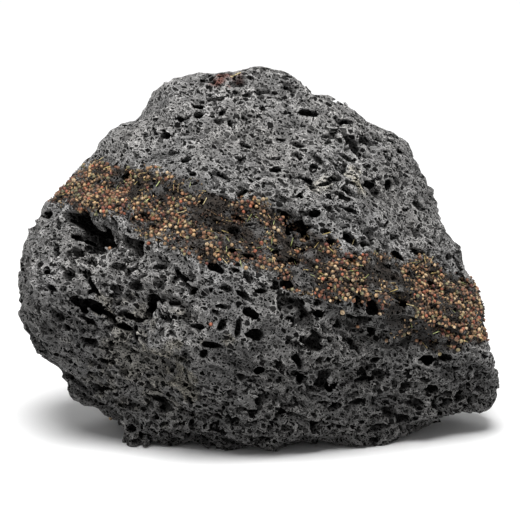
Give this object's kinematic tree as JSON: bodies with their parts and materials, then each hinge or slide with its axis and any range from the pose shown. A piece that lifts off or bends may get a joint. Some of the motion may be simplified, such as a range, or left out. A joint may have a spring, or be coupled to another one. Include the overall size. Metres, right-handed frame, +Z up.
{
  "type": "lava rock",
  "caption": "Dark grey vesicular lava rock (scoria), one rugged lump with a grain-filled ledge across its front, for aquarium, terrarium or garden display.",
  "frame": {"origin": "on the resting face, under the centre of the bounding box", "axes": "+X along the stone, towards the pointed end on the viewer's right; +Y from the front with the ledge to the back; +Z up"},
  "size_m": [0.2016, 0.1436, 0.1513],
  "materials": {
    "basalt": "rough, matt, full of small burst gas bubbles",
    "grains": "small rounded waxy grains, tan to orange brown",
    "chaff": "dry, pale, fibrous"
  },
  "bodies": {
    "root": {"stone": "basalt"}
  },
  "joints": []
}
